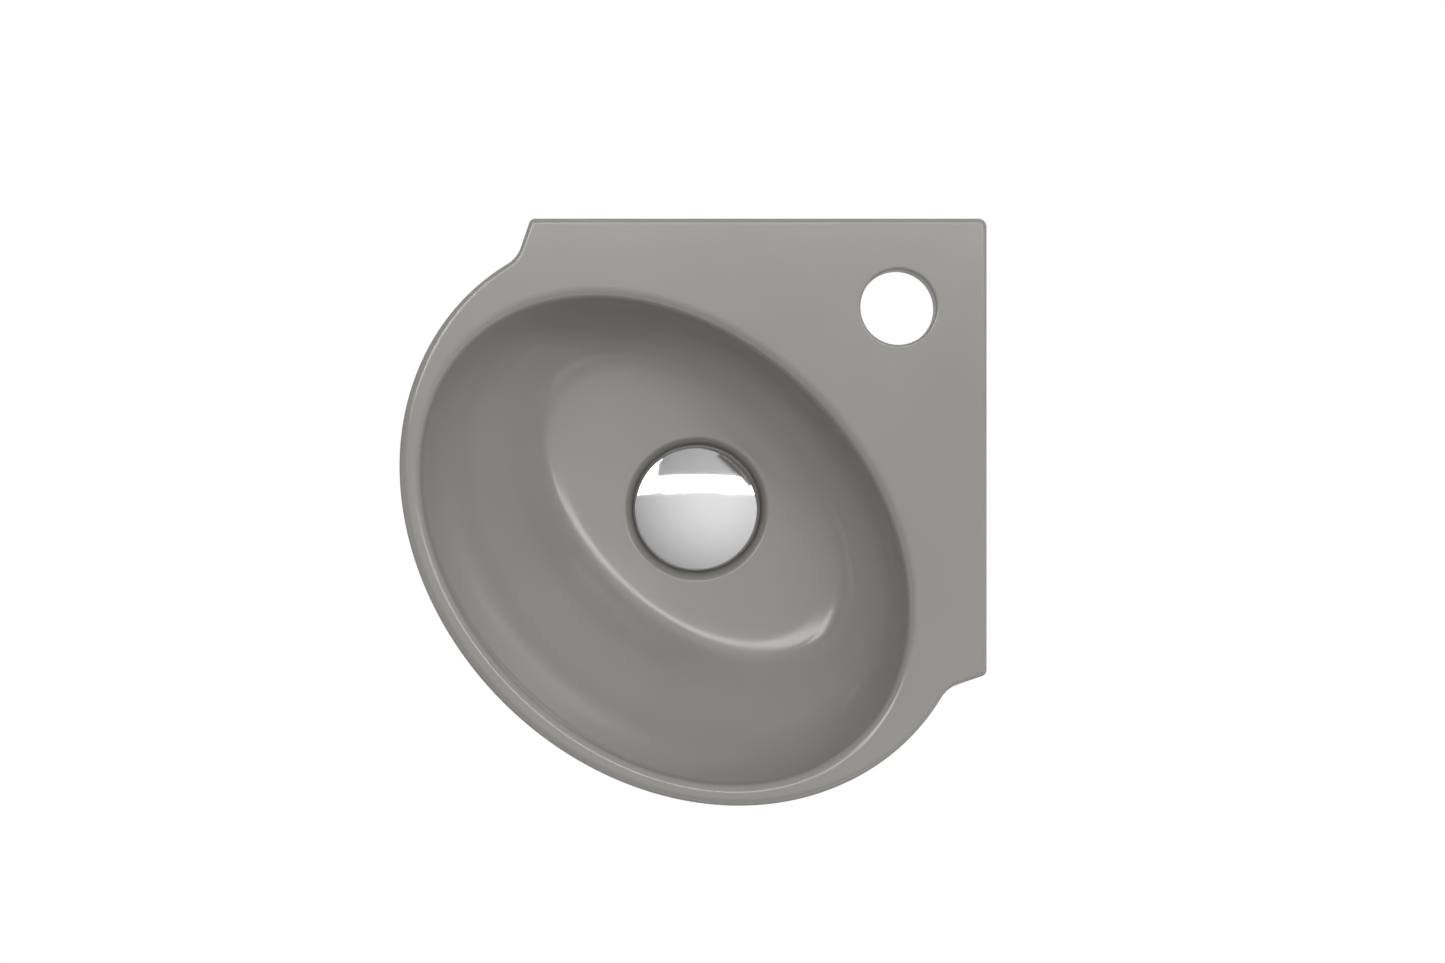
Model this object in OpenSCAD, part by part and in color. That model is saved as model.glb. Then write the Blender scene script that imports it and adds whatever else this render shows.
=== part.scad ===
// Corner hand basin with a push-open waste. The origin is where the two wall
// planes meet at the level of the deck. The basin lies in -X and -Y.

/* [Basin outline] */
// Length along each wall, from the corner to the front of the bowl
side_l = 280; // [260:1:310]
// Half the length of the free edge's oval, across the corner
edge_half_l = 149.2; // [142:0.2:158]
// Half the width of the free edge's oval, toward the corner
edge_half_w = 124.4; // [118:0.2:132]
// Length of the flat back along each wall
wing_l = 217.2; // [205:0.2:224]
// Angle by which the end of each wing leans out from square
wing_lean = 19; // [10:1:28]
// Radius of the upright edge in the corner
corner_r = 4; // [3:0.5:8]
// Radius of the upright edge at the end of each wing
wing_r = 3; // [2.6:0.1:6]
// Radius of the top edge along the walls
wall_edge_r = 2.4; // [1:0.1:2.8]
// Radius of the top edge at the front
free_edge_r = 4.4; // [2:0.1:6]

/* [Casting] */
// Height of the casting
casting_h = 112; // [106:1:130]
// Thickness of the deck
deck_t = 14.6; // [10:0.2:18]
// Thickness of the two back plates
back_t = 12; // [9:0.5:16]
// Thickness of the bowl's wall at the pocket
bowl_wall = 10; // [8:0.5:13]
// Thickness of the cheek that closes the pocket at each wing
cheek_t = 21; // [16:1:26]
// Rounding of the pocket under the deck
pocket_r = 6; // [3:0.5:9]
// Half the length of the foot round the waste
foot_half_l = 62; // [58:1:70]
// Half the width of the foot round the waste
foot_half_w = 44; // [40:1:52]
// Height of the foot
foot_h = 11; // [8:1:14]
// Length of each back plate at the foot
foot_wing_l = 136; // [120:1:144]

/* [Bowl] */
// Half the length of the bowl's opening
bowl_half_l = 131.6; // [124:0.2:134]
// Half the width of the bowl's opening
bowl_half_w = 98; // [90:0.2:100]
// Width of the rim at the front
rim_w = 10.8; // [10:0.2:14]
// Depth of the bowl beside the waste
bowl_depth = 84; // [76:1:88]
// Distance of the waste from the middle of the opening, toward the corner
drain_shift = 20.4; // [12:0.2:24]
// Rounding of the rim on the corner side
rim_r_back = 5.7; // [3:0.1:7]
// Rounding of the rim at the front
rim_r_front = 3.6; // [2:0.1:4.5]

/* [Holes] */
// Diameter of the tap hole
tap_hole_d = 36; // [33:0.5:38]
// Distance of the tap hole from each wall
tap_from_wall = 42.2; // [38:0.2:46]
// Rounding of the tap hole's top edge
tap_edge_r = 1.2; // [0.5:0.1:2]
// Diameter of each wall fixing hole
fixing_hole_d = 14; // [10:0.5:16]
// Distance of each wall fixing hole from the corner
fixing_from_corner = 100; // [85:1:115]
// Depth of the wall fixing holes below the deck
fixing_drop = 50; // [42:1:56]

/* [Waste seat] */
// Diameter of the sunk seat that the cap closes into
seat_d = 66; // [65.2:0.2:70]
// Depth of the seat below the bowl's floor
seat_depth = 8; // [7:0.2:10]
// Rounding of the seat's edge
seat_edge_r = 4; // [2:0.2:5]
// Diameter of the waste hole
waste_hole_d = 46; // [44:0.5:48]

/* [Waste body] */
// Outer diameter of the tail's thread
tail_d = 41.91; // [40:0.01:43]
// Bore of the tail
tail_bore_d = 36; // [34:0.5:37]
// Length of the tail below its flange
tail_l = 82; // [76:1:100]
// Diameter of the top flange
flange_d = 62; // [58:0.5:63]
// Thickness of the top flange
flange_t = 3; // [2:0.2:4]
// Diameter of the opening in the flange
flange_mouth_d = 46; // [44:0.5:48]
// Drop of the mouth's cone below the flange
mouth_lead = 1; // [0.4:0.2:1.4]
// Drop from the back nut to the turned groove that ends its thread
groove_drop = 3; // [1:0.5:6]
// Width of that groove
groove_w = 3; // [2:0.5:5]
// Depth of that groove
groove_depth = 0.8; // [0.4:0.1:1.2]
// Chamfer at the tail's free end
tail_chamfer = 1; // [0.5:0.1:1.5]
// Drop from the flange's top face to the bridge that carries the cartridge
bridge_drop = 27; // [25:0.5:32]
// Height of the bridge
bridge_h = 12; // [10:0.5:14]
// Thickness of each bridge arm
bridge_arm_t = 2.4; // [1.6:0.2:4]
// Wall of the ring at the middle of the bridge
bridge_ring_t = 3; // [2:0.2:4]

/* [Clamping parts] */
// Thickness of the seal under the flange
flange_seal_t = 2; // [1:0.2:3]
// Thickness of the rubber seal under the casting
under_seal_t = 5; // [3:0.5:7]
// Thickness of the plastic slide washer
washer_t = 2; // [1:0.2:3]
// Height of the back nut
nut_h = 11; // [8:0.5:14]
// Size of the back nut across its flats
nut_af = 52; // [50:0.5:56]
// Outer diameter of the seal, the washer and the nut's collar
clamp_d = 64; // [60:0.5:68]
// Clearance of the washers round the tail
clamp_gap = 0.25; // [0.1:0.05:0.5]

/* [Cap] */
// Diameter of the cap
cap_d = 64; // [62:0.2:64.8]
// Thickness of the cap
cap_t = 2.2; // [1.6:0.1:3]
// Height of the cap's dome above its edge
cap_rise = 4.6; // [3:0.2:7]
// Height of the cap's upright edge
cap_edge_h = 2.4; // [1.8:0.1:3]
// Rounding between the cap's edge and dome
cap_edge_r = 1.1; // [0.6:0.1:1.4]
// Travel of the cap from closed to open
cap_travel = 8; // [6:0.5:9]
// Gap between the closed cap and the flange
cap_gap = 0.3; // [0.2:0.05:0.5]
// Thickness of the cap's seal
cap_seal_t = 2; // [1.4:0.1:2.4]
// Width of the cap's seal
cap_seal_w = 5; // [4:0.2:6]
// Drop of the cap's boss below the seal's seat
boss_drop = 6; // [5:0.2:7]
// Gap between the closed cap's boss and the cartridge
boss_gap = 2; // [1:0.2:3]

/* [Cartridge] */
// Outer diameter of the cartridge sleeve
sleeve_d = 15; // [14:0.2:17]
// Bore of the cartridge sleeve
sleeve_bore_d = 12.6; // [12:0.1:13]
// Diameter of the plunger's shaft
plunger_d = 8; // [7:0.2:9]
// Running gap of the plunger and the rotor
run_gap = 0.08; // [0.04:0.01:0.1]
// Height of the rotor
rotor_h = 7; // [5:0.2:9]
// Number of lugs round the rotor
rotor_lugs = 4; // [2:1:6]
// Thickness of the spring's wire
wire_d = 1.1; // [0.8:0.1:1.4]
// Number of turns in the spring
spring_turns = 6; // [4:1:8]
// Length of the closed spring
spring_h = 15; // [14:0.5:20]
// Height of the collar that closes the sleeve
collar_h = 4; // [3:0.2:6]
// Thickness of the sleeve's floor
sleeve_floor_t = 2; // [1.4:0.2:3]
// Thickness of the sleeve's flange
sleeve_flange_t = 2.4; // [1.6:0.2:3]
// Width of the sleeve's flange
sleeve_flange_w = 2; // [1.4:0.2:2.6]
// Height of the plunger's foot
plunger_foot_h = 3; // [2:0.2:4]
// Diameter of the stud that screws into the cap
stud_d = 6; // [5:0.2:6.6]
// Length of that stud
stud_h = 6; // [4:0.2:7]
// Height of the lock nut
lock_nut_h = 5; // [4:0.2:7]
// Size of the lock nut across its flats
lock_nut_af = 19; // [18:0.5:24]

/* [Hidden] */

// How far a cut runs past the face that it opens
overrun = 1;
// Facets round a turned piece
round_fn = 96;
// Facets round the sphere of the cap's dome, which is much larger than the cap
dome_fn = 480;

// Middle of the free edge's oval and of the bowl, along the diagonal from the corner
edge_along = (side_l - sqrt((edge_half_l * edge_half_l + edge_half_w * edge_half_w) / 2)) * sqrt(2);
bowl_along = edge_along + edge_half_w - rim_w - bowl_half_w;
drain_along = bowl_along - drain_shift;
drain_at = -drain_along / sqrt(2);

// Steps round each stretch of the outline, from the corner to the front
corner_steps = 4;
wall_steps = 9;
wing_steps = 4;
blend_steps = 6;
oval_steps = 27;
// Steps up the rounded edges, down the hanging side and round the bowl
edge_steps = 4;
side_steps = 9;
bowl_n = 76;
bowl_fine = 2;
// Turn of the oval over which a wing's end blends in, at the deck and at the foot
blend_turn = 2.4;
foot_blend_turn = 24;
// Largest share of a wing's end that its blend may take
blend_limit_share = 0.8;
// Share of the oval over which the top edge grows to its front radius
edge_grow_share = 0.35;
// Turn of the oval at which the pocket stops
pocket_turn = 118;
pocket_steps = 11;
pocket_edge_steps = 3;

// The bowl below its rim, from the top down: shares of the depth, of the way that the
// middle moves toward the waste, of the half width and of the half length
bowl_shares = [
    [0.07, 0.00, 1.000, 1.000],
    [0.33, 0.06, 0.965, 0.981],
    [0.60, 0.14, 0.916, 0.953],
    [0.68, 0.18, 0.893, 0.930],
    [0.735, 0.26, 0.860, 0.893],
    [0.785, 0.49, 0.786, 0.815],
    [0.845, 0.75, 0.694, 0.737],
    [0.90, 0.93, 0.614, 0.676],
    [0.94, 1.02, 0.556, 0.634],
    [0.962, 1.04, 0.505, 0.590],
    [0.980, 1.03, 0.450, 0.470],
];
// Width of the flat ring of floor round the seat
floor_ring = 2;

// A point p along the diagonal from the corner and q across it, as x and y
function at_xy(a) = [-(a[0] + a[1]) / sqrt(2), -(a[0] - a[1]) / sqrt(2)];
function dir(angle) = [cos(angle), sin(angle)];
function mix(a, b, t) = a + (b - a) * t;
function ease(t) = t <= 0 ? 0 : t >= 1 ? 1 : t * t * (3 - 2 * t);

// Share of the hanging side's spread that is left at a share of the way down to the foot
function down_share(phi) = pow(sin(phi), 2 / 3);
function spread_share(phi) = pow(cos(phi), 1.44);

// The turn of an oval at which a line from a along d meets it
function oval_meets(a, d, along, half_w, half_l) =
    let (s0 = [(a[0] - along) / half_w, a[1] / half_l],
         v = [d[0] / half_w, d[1] / half_l],
         b = s0 * v / (v * v),
         c = (s0 * s0 - 1) / (v * v),
         hit = s0 + v * (-b - sqrt(max(0, b * b - c))))
    atan2(hit[1], hit[0]);

// Half of the outline, from the corner to the front: each entry is a point, its outward
// direction and the share by which its top edge has grown
function half_outline(along, half_w, half_l, wing, turn) =
    let (lean_dir = 45 + wing_lean,
         tip = [wing, wing] / sqrt(2),
         line = dir(lean_dir - 90),
         met = oval_meets(tip, line, along, half_w, half_l),
         start = met - turn,
         end_p = [along + half_w * cos(start), half_l * sin(start)],
         tangent = [half_w * sin(start), -half_l * cos(start)] / norm([half_w * sin(start),
                                                                       half_l * cos(start)]),
         gap = end_p - tip,
         cross_lt = line[0] * tangent[1] - line[1] * tangent[0],
         reach = (gap[0] * tangent[1] - gap[1] * tangent[0]) / cross_lt,
         knee = tip + line * reach,
         leg = min(norm(end_p - knee), reach * blend_limit_share),
         begin_p = knee - line * leg,
         half_turn = (135 - lean_dir) / 2,
         tip_back = wing_r / cos(half_turn),
         tip_mid = tip - tip_back * dir(135 - half_turn),
         corner_mid = [corner_r * sqrt(2), 0])
    concat(
        [for (i = [0:corner_steps])
            let (turned = 180 - 45 * i / corner_steps)
            [corner_mid + corner_r * dir(turned), turned, 0]],
        [for (i = [1:wall_steps - 1])
            [mix(corner_mid + corner_r * dir(135), tip_mid + wing_r * dir(135), i / wall_steps),
             135, 0]],
        [for (i = [0:wing_steps])
            let (turned = mix(135, lean_dir, i / wing_steps))
            [tip_mid + wing_r * dir(turned), turned, 0]],
        [for (i = [0:blend_steps - 1])
            let (t = i / blend_steps, early = mix(begin_p, knee, t), late = mix(knee, end_p, t),
                 run = late - early)
            [mix(early, late, t), atan2(run[1], run[0]) + 90, 0]],
        [for (i = [0:oval_steps])
            let (turned = start * (1 - i / oval_steps),
                 nx = half_l * cos(turned), ny = half_w * sin(turned))
            [[along + half_w * cos(turned), half_l * sin(turned)], atan2(ny, nx),
             ease(i / oval_steps / edge_grow_share)]]);

// A whole ring from its half: the half, then its mirror image without the two shared ends
function whole_ring(half) =
    let (n = len(half))
    concat(half, [for (i = [n - 2:-1:1]) [[half[i][0][0], -half[i][0][1]], -half[i][1], half[i][2]]]);

// The outline at a turn phi down the hanging side
function side_ring(phi) =
    let (f = spread_share(phi))
    whole_ring(half_outline(mix(drain_along, edge_along, f), mix(foot_half_w, edge_half_w, f),
                            mix(foot_half_l, edge_half_l, f), mix(foot_wing_l, wing_l, f),
                            mix(foot_blend_turn, blend_turn, f)));

top_ring = side_ring(0);
function edge_r_at(share) = mix(wall_edge_r, free_edge_r, share);

// The outline drawn in and dropped along its rounded top edge, at a turn from flat to upright
function edge_ring(turned) =
    [for (e = top_ring)
        let (r = edge_r_at(e[2]), inset = r * (1 - sin(turned)), a = at_xy(e[0] - inset * dir(e[1])))
        [a[0], a[1], -r * (1 - cos(turned))]];

function lifted(ring, z) = [for (e = ring) let (a = at_xy(e[0])) [a[0], a[1], z]];

// An oval ring of n points, from the corner side
function oval_ring(along, half_w, half_l, z, n) =
    [for (i = [0:n - 1])
        let (turned = 180 - 360 * i / n,
             a = at_xy([along + half_w * cos(turned), half_l * sin(turned)]))
        [a[0], a[1], z]];

function rim_r_at(turned) = mix(rim_r_front, rim_r_back, (1 - cos(turned)) / 2);
// The rounded rim, at a turn from upright to flat
function rim_ring(up) =
    [for (i = [0:bowl_n - 1])
        let (turned = 180 - 360 * i / bowl_n,
             r = rim_r_at(turned),
             out = r * (1 - cos(up)),
             a = at_xy([bowl_along + (bowl_half_w + out) * cos(turned),
                        (bowl_half_l + out) * sin(turned)]))
        [a[0], a[1], -r * (1 - sin(up))]];

// A smooth curve through a table's rows, with m steps between each two
function curve_at(rows, k, t) =
    let (n = len(rows), a = rows[max(k - 1, 0)], b = rows[k], c = rows[min(k + 1, n - 1)],
         d = rows[min(k + 2, n - 1)])
    0.5 * (2 * b + (c - a) * t + (2 * a - 5 * b + 4 * c - d) * t * t
           + (3 * b - a - 3 * c + d) * t * t * t);
function smooth_rows(rows, m) =
    concat([for (k = [0:len(rows) - 2]) for (j = [0:m - 1]) curve_at(rows, k, j / m)],
           [rows[len(rows) - 1]]);

bowl_rows = smooth_rows(bowl_shares, bowl_fine);
floor_r = seat_d / 2 + seat_edge_r + floor_ring;
bowl_rings = concat(
    [oval_ring(drain_along, floor_r, floor_r, -bowl_depth, bowl_n)],
    [for (k = [len(bowl_rows) - 1:-1:0])
        let (row = bowl_rows[k])
        oval_ring(bowl_along - drain_shift * row[1], bowl_half_w * row[2], bowl_half_l * row[3],
                  -bowl_depth * row[0], bowl_n)],
    [for (j = [1:edge_steps]) rim_ring(90 * j / edge_steps)]);

foot_z = -(casting_h - foot_h);
outer_rings = concat(
    [for (j = [0:edge_steps]) edge_ring(90 * j / edge_steps)],
    [for (j = [1:side_steps])
        let (phi = 90 * j / side_steps)
        lifted(side_ring(phi), foot_z * down_share(phi))],
    [lifted(side_ring(90), -casting_h)]);

// Faces between neighbouring rings of n points, from the point numbered first
function ring_faces(first, rings, n) =
    [for (k = [0:rings - 2]) for (i = [0:n - 1])
        let (a = first + k * n, b = a + n, j = (i + 1) % n)
        each [[a + i, a + j, b + j], [a + i, b + j, b + i]]];

// One level of the pocket: along the two back plates, then back round the bowl
function pocket_ring(f, tight, z) =
    let (plate = back_t + tight, wall = bowl_wall + tight,
         stop = mix(foot_wing_l, wing_l, f) - cheek_t - tight,
         half_w = mix(foot_half_w, bowl_half_w + wall, f),
         half_l = mix(foot_half_l, bowl_half_l + wall, f),
         along = mix(drain_along, bowl_along, f),
         half = concat([for (i = [0:pocket_steps])
                           let (along_wall = mix(plate, stop, i / pocket_steps))
                           [along_wall + plate, along_wall - plate] / sqrt(2)],
                       [for (i = [0:pocket_steps])
                           let (turned = mix(pocket_turn, 180, i / pocket_steps))
                           [along + half_w * cos(turned), half_l * sin(turned)]]),
         n = len(half))
    [for (e = concat(half, [for (i = [n - 2:-1:1]) [half[i][0], -half[i][1]]]))
        let (a = at_xy(e)) [a[0], a[1], z]];

// The hollow behind the bowl, open at the bottom, from its mouth up to the deck
pocket_rings = concat(
    [pocket_ring(0, 0, -casting_h)],
    [for (j = [side_steps:-1:2])
        let (phi = 90 * j / side_steps)
        pocket_ring(spread_share(phi), 0, foot_z * down_share(phi))],
    [for (j = [0:pocket_edge_steps])
        let (turned = 90 * j / pocket_edge_steps)
        pocket_ring(1, pocket_r * (1 - cos(turned)), -deck_t - pocket_r * (1 - sin(turned)))]);

// A stretch of a ring, each entry a point and its number
function stretch(ring, first, from, to) =
    let (n = len(ring), step = from < to ? 1 : -1)
    [for (i = [from:step:to]) [ring[i % n], first + i % n]];

// Which way three points turn, seen from above
function turn_of(a, b, c) = (b[0] - a[0]) * (c[1] - a[1]) - (b[1] - a[1]) * (c[0] - a[0]);

// Whether the next triangle between two stretches steps along the first of them: the one
// that faces the right way, or else the one over the shorter diagonal
function steps_first(a, b, i, j, side) =
    j + 1 >= len(b) ? true : i + 1 >= len(a) ? false
    : let (good_a = side * turn_of(a[i][0], a[i + 1][0], b[j][0]) > 0,
           good_b = side * turn_of(a[i][0], b[j + 1][0], b[j][0]) > 0)
      good_a != good_b ? good_a : norm(a[i + 1][0] - b[j][0]) < norm(a[i][0] - b[j + 1][0]);

// Triangles between two stretches that run the same way
function between(a, b, side) =
    [for (i = 0, j = 0; i + 1 < len(a) || j + 1 < len(b);
          on_a = steps_first(a, b, i, j, side), i = i + (on_a ? 1 : 0), j = j + (on_a ? 0 : 1))
        steps_first(a, b, i, j, side) ? [a[i][1], a[i + 1][1], b[j][1]]
                                      : [a[i][1], b[j + 1][1], b[j][1]]];

// Triangles between two whole rings with the same middle line, as two mirrored halves
function ring_to_ring(a, first_a, b, first_b, side) =
    let (na = len(a), nb = len(b))
    concat(between(stretch(a, first_a, 0, na / 2), stretch(b, first_b, 0, nb / 2), side),
           between(stretch(a, first_a, na / 2, na), stretch(b, first_b, nb / 2, nb), side));

// The pocket's flat roof: on each half, between the back plate and the bowl
function roof_faces(ring, first) =
    let (n = len(ring))
    concat(between(stretch(ring, first, 0, pocket_steps),
                   stretch(ring, first, n / 2, pocket_steps + 1), 1),
           between(stretch(ring, first, n - pocket_steps, n),
                   stretch(ring, first, n - pocket_steps - 1, n / 2), 1));

// The casting as one skin: up inside the bowl, over the rim, across the deck, down the
// outside, under the base and up into the pocket
module casting_blank() {
    outer_n = len(top_ring);
    pocket_n = len(pocket_rings[0]);
    last_bowl = len(bowl_rings) - 1;
    last_outer = len(outer_rings) - 1;
    last_pocket = len(pocket_rings) - 1;
    rim_0 = last_bowl * bowl_n;
    deck_0 = rim_0 + bowl_n;
    base_0 = deck_0 + last_outer * outer_n;
    mouth_0 = base_0 + outer_n;
    roof_0 = mouth_0 + last_pocket * pocket_n;
    polyhedron([for (ring = concat(bowl_rings, outer_rings, pocket_rings)) each ring],
               concat([[for (i = [bowl_n - 1:-1:0]) i]],
                      ring_faces(0, len(bowl_rings), bowl_n),
                      ring_to_ring(bowl_rings[last_bowl], rim_0, outer_rings[0], deck_0, -1),
                      ring_faces(deck_0, len(outer_rings), outer_n),
                      ring_to_ring(outer_rings[last_outer], base_0, pocket_rings[0], mouth_0, 1),
                      ring_faces(mouth_0, len(pocket_rings), pocket_n),
                      roof_faces(pocket_rings[last_pocket], roof_0)),
               convexity = 10);
}

seat_z = -bowl_depth - seat_depth;
// Diameter of the cap's seal, which closes on the flange just outside its mouth
seal_d = flange_mouth_d + cap_seal_w;
// The sunk seat with its rounded edge, and the waste hole
module waste_cut() {
    edge_n = 6;
    rotate_extrude($fn = round_fn)
        polygon(concat(
            [[0, seat_z], [seat_d / 2, seat_z]],
            [for (i = [0:edge_n])
                let (turned = 180 - 90 * i / edge_n)
                [seat_d / 2 + seat_edge_r * (1 + cos(turned)),
                 -bowl_depth - seat_edge_r * (1 - sin(turned))]],
            [[seat_d / 2 + seat_edge_r, -bowl_depth + overrun], [0, -bowl_depth + overrun]]));
    translate([0, 0, -casting_h - overrun])
        cylinder(d = waste_hole_d, h = casting_h + seat_z + 2 * overrun, $fn = round_fn);
}

module tap_cut() {
    edge_n = 4;
    translate([0, 0, -deck_t - overrun])
        cylinder(d = tap_hole_d, h = deck_t + 2 * overrun, $fn = round_fn);
    rotate_extrude($fn = round_fn)
        polygon(concat(
            [[0, -tap_edge_r], [tap_hole_d / 2, -tap_edge_r]],
            [for (i = [1:edge_n])
                let (turned = 180 - 90 * i / edge_n)
                [tap_hole_d / 2 + tap_edge_r * (1 + cos(turned)), -tap_edge_r * (1 - sin(turned))]],
            [[tap_hole_d / 2 + tap_edge_r, overrun], [0, overrun]]));
}

module basin() {
    color([0.66, 0.65, 0.63])
    difference() {
        casting_blank();
        translate([drain_at, drain_at, 0])
            waste_cut();
        translate([-tap_from_wall, -tap_from_wall, 0])
            tap_cut();
        translate([-fixing_from_corner, overrun, -fixing_drop])
            rotate([90, 0, 0])
                cylinder(d = fixing_hole_d, h = back_t + 2 * overrun, $fn = round_fn);
        translate([overrun, -fixing_from_corner, -fixing_drop])
            rotate([0, -90, 0])
                cylinder(d = fixing_hole_d, h = back_t + 2 * overrun, $fn = round_fn);
    }
}

// Heights of the waste, from its flange up to the cap
flange_z = seat_z + flange_seal_t;
flange_top = flange_z + flange_t;
tail_z = flange_z - tail_l;
cap_z = flange_top + cap_gap;
cap_floor = cap_z + cap_seal_t;
boss_z = cap_floor - boss_drop;
// Heights of the cartridge, from its collar down to its floor
collar_top = boss_z - boss_gap;
sleeve_top = collar_top - collar_h;
foot_top = sleeve_top - cap_travel - run_gap;
rotor_top = foot_top - plunger_foot_h;
rotor_z = rotor_top - rotor_h;
spring_z = rotor_z - spring_h;
sleeve_z = spring_z - sleeve_floor_t;
// Heights of the bridge and of the clamping parts
bridge_top = flange_top - bridge_drop;
bridge_z = bridge_top - bridge_h;
under_z = -casting_h - under_seal_t;
washer_z = under_z - washer_t;
// Clear diameters on the sleeve, the tail and in the sleeve's bore
sleeve_fit_d = sleeve_d + 2 * run_gap;
tail_fit_d = tail_d + 2 * clamp_gap;
slider_d = sleeve_bore_d - 2 * run_gap;

module at_drain() {
    translate([drain_at, drain_at, 0])
        children();
}

// A turned ring between two diameters
module washer_ring(outer_d, inner_d, z, h) {
    translate([0, 0, z])
        difference() {
            cylinder(d = outer_d, h = h, $fn = round_fn);
            translate([0, 0, -overrun])
                cylinder(d = inner_d, h = h + 2 * overrun, $fn = round_fn);
        }
}

module flange_seal() {
    color([0.12, 0.12, 0.12])
    at_drain()
        washer_ring(flange_d - flange_t, tail_fit_d, seat_z, flange_seal_t);
}

// The waste body: flange, cone, threaded tail and the bridge that carries the cartridge
module waste_body() {
    ring_d = sleeve_fit_d + 2 * bridge_ring_t;
    lip = flange_t / 3;
    arm_l = tail_bore_d + (tail_d - tail_bore_d) / 2;
    groove_r = tail_d / 2 - groove_depth;
    groove_top = washer_z - nut_h - groove_drop;
    color([0.8, 0.8, 0.82])
    at_drain() {
        rotate_extrude($fn = round_fn)
            polygon([[tail_bore_d / 2, tail_z], [tail_d / 2 - tail_chamfer, tail_z],
                     [tail_d / 2, tail_z + tail_chamfer], [tail_d / 2, groove_top - groove_w],
                     [groove_r, groove_top - groove_w], [groove_r, groove_top],
                     [tail_d / 2, groove_top], [tail_d / 2, flange_z],
                     [flange_d / 2 - lip, flange_z], [flange_d / 2, flange_z + lip],
                     [flange_d / 2, flange_top - lip], [flange_d / 2 - lip, flange_top],
                     [flange_mouth_d / 2, flange_top], [tail_bore_d / 2, flange_z - mouth_lead]]);
        difference() {
            union() {
                translate([0, 0, bridge_z])
                    cylinder(d = ring_d, h = bridge_h, $fn = round_fn);
                for (a = [45, 135])
                    rotate([0, 0, a])
                        translate([-arm_l / 2, -bridge_arm_t / 2, bridge_z])
                            cube([arm_l, bridge_arm_t, bridge_h]);
            }
            translate([0, 0, bridge_z - overrun])
                cylinder(d = sleeve_fit_d, h = bridge_h + 2 * overrun, $fn = round_fn);
        }
    }
}

module under_seal() {
    color([0.12, 0.12, 0.12])
    at_drain()
        washer_ring(clamp_d, tail_fit_d, under_z, under_seal_t);
}

module slide_washer() {
    color([0.93, 0.93, 0.9])
    at_drain()
        washer_ring(clamp_d, tail_fit_d, washer_z, washer_t);
}

// A six-sided nut with the corners of its free end, at the bottom, chamfered
module hex_nut(flats, bore_d, z, h) {
    corner = flats / 2 / cos(30);
    chamfer = (corner - flats / 2) * tan(30);
    translate([0, 0, z])
        difference() {
            intersection() {
                cylinder(r = corner, h = h, $fn = 6);
                rotate_extrude($fn = round_fn)
                    polygon([[0, -overrun], [flats / 2, -overrun], [flats / 2, 0],
                             [corner + overrun, chamfer + overrun * tan(30)],
                             [corner + overrun, h + overrun], [0, h + overrun]]);
            }
            translate([0, 0, -overrun])
                cylinder(d = bore_d, h = h + 2 * overrun, $fn = round_fn);
        }
}

module back_nut() {
    collar_t = nut_h / 4;
    bore_d = tail_d + 2 * run_gap;
    color([0.78, 0.66, 0.36])
    at_drain() {
        hex_nut(nut_af, bore_d, washer_z - nut_h, nut_h - collar_t);
        washer_ring(clamp_d, bore_d, washer_z - collar_t, collar_t);
    }
}

// The sleeve's flange rests on the bridge, and its lock nut pulls up from below
module cartridge_sleeve() {
    drain_hole_d = sleeve_bore_d / 3;
    color([0.9, 0.9, 0.88])
    at_drain()
        difference() {
            union() {
                translate([0, 0, sleeve_z])
                    cylinder(d = sleeve_d, h = sleeve_top - sleeve_z, $fn = round_fn);
                translate([0, 0, bridge_top])
                    cylinder(d = sleeve_d + 2 * sleeve_flange_w, h = sleeve_flange_t, $fn = round_fn);
            }
            translate([0, 0, spring_z])
                cylinder(d = sleeve_bore_d, h = sleeve_top - spring_z + overrun, $fn = round_fn);
            translate([0, 0, sleeve_z - overrun])
                cylinder(d = drain_hole_d, h = sleeve_floor_t + 2 * overrun, $fn = round_fn);
        }
}

module cartridge_lock_nut() {
    color([0.9, 0.9, 0.88])
    at_drain()
        hex_nut(lock_nut_af, sleeve_fit_d, bridge_z - lock_nut_h, lock_nut_h);
}

// A wire of six sides wound up through its turns, its ends closed
module cartridge_spring() {
    sides = 6;
    turn_steps = 16;
    steps = turn_steps * spring_turns;
    coil_r = sleeve_bore_d / 2 - wire_d;
    rise = spring_h - wire_d - 2 * run_gap;
    first_z = spring_z + run_gap + wire_d / 2;
    points = [for (k = [0:steps]) for (s = [0:sides - 1])
        let (turned = 360 * k / turn_steps, r = coil_r + wire_d / 2 * cos(60 * s))
        [r * cos(turned), r * sin(turned), first_z + rise * k / steps + wire_d / 2 * sin(60 * s)]];
    color([0.75, 0.75, 0.77])
    at_drain()
        polyhedron(points,
                   concat([[for (s = [sides - 1:-1:0]) s]], ring_faces(0, steps + 1, sides),
                          [[for (s = [0:sides - 1]) steps * sides + s]]), convexity = 10);
}

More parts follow.
